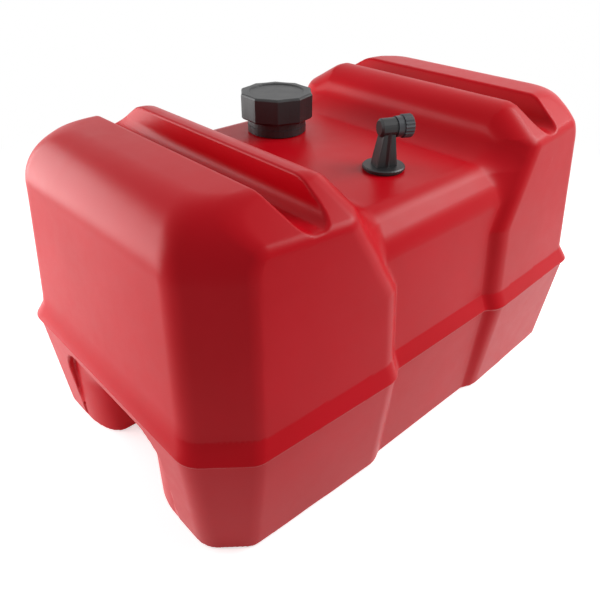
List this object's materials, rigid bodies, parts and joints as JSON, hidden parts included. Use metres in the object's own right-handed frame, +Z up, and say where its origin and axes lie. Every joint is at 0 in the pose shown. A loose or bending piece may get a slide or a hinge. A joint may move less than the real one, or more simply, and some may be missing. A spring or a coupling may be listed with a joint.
{
  "type": "outboard fuel tank",
  "caption": "Portable red outboard fuel tank with end grip pockets, ratchet vented filler cap and a pickup fitting with dip tube and strainer.",
  "frame": {"origin": "on the floor, under the middle of the tank", "axes": "+X along the tank's length towards the far end in the picture, +Y across it from the pickup towards the filler cap, +Z up"},
  "size_m": [0.584, 0.3744, 0.3244],
  "materials": {
    "red_plastic": "satin",
    "black_plastic": "satin",
    "grey_plastic": "satin",
    "black_rubber": "matte",
    "natural_plastic": "satin",
    "steel": "bright"
  },
  "bodies": {
    "tank": {"tank_body": "red_plastic", "pickup_body": "black_plastic", "pickup_gasket": "black_rubber", "dip_tube": "natural_plastic", "pickup_strainer": "natural_plastic", "check_spring": "steel"},
    "cap_seal": {"filler_cap_gasket": "black_rubber"},
    "inner_cap": {"filler_cap_body": "black_plastic", "vent_retainer": "grey_plastic", "vent_spring": "steel"},
    "grip": {"filler_cap_grip": "black_plastic", "filler_cap_pawl_ring": "grey_plastic"},
    "vent_valve": {"vent_disc": "black_rubber"},
    "dust_cap_seal": {"outlet_seal": "black_rubber"},
    "dust_cap": {"outlet_cap": "grey_plastic"},
    "check_valve": {"check_ball": "steel"}
  },
  "joints": [
    {"name": "cap_lift", "type": "slide", "parent": "tank", "child": "cap_seal", "axis": [0, 0, 1], "range_m": [0, 0.12]},
    {"name": "cap_unscrew", "type": "hinge", "parent": "cap_seal", "child": "inner_cap", "pos_m": [0, 0.0817, 0.2724], "axis": [0, 0, 1], "range_deg": [0, 720]},
    {"name": "grip_ratchet", "type": "hinge", "parent": "inner_cap", "child": "grip", "pos_m": [0, 0.0817, 0.2724], "axis": [0, 0, 1], "range_deg": [-360, 0]},
    {"name": "vent_open", "type": "slide", "parent": "inner_cap", "child": "vent_valve", "axis": [0, 0, -1], "range_m": [0, 0.003], "stiffness_N_per_m": 40, "springref_m": -0.002, "deforming": ["vent_spring"]},
    {"name": "outlet_pull", "type": "slide", "parent": "tank", "child": "dust_cap_seal", "axis": [0.9063, -0.4226, 0], "range_m": [0, 0.04]},
    {"name": "outlet_cap_turn", "type": "hinge", "parent": "dust_cap_seal", "child": "dust_cap", "pos_m": [0, -0.0778, 0.3133], "axis": [0.9063, -0.4226, 0], "continuous": true},
    {"name": "check_open", "type": "slide", "parent": "tank", "child": "check_valve", "axis": [0, 0, 1], "range_m": [0, 0.003], "stiffness_N_per_m": 30, "springref_m": -0.002, "deforming": ["check_spring"]}
  ]
}
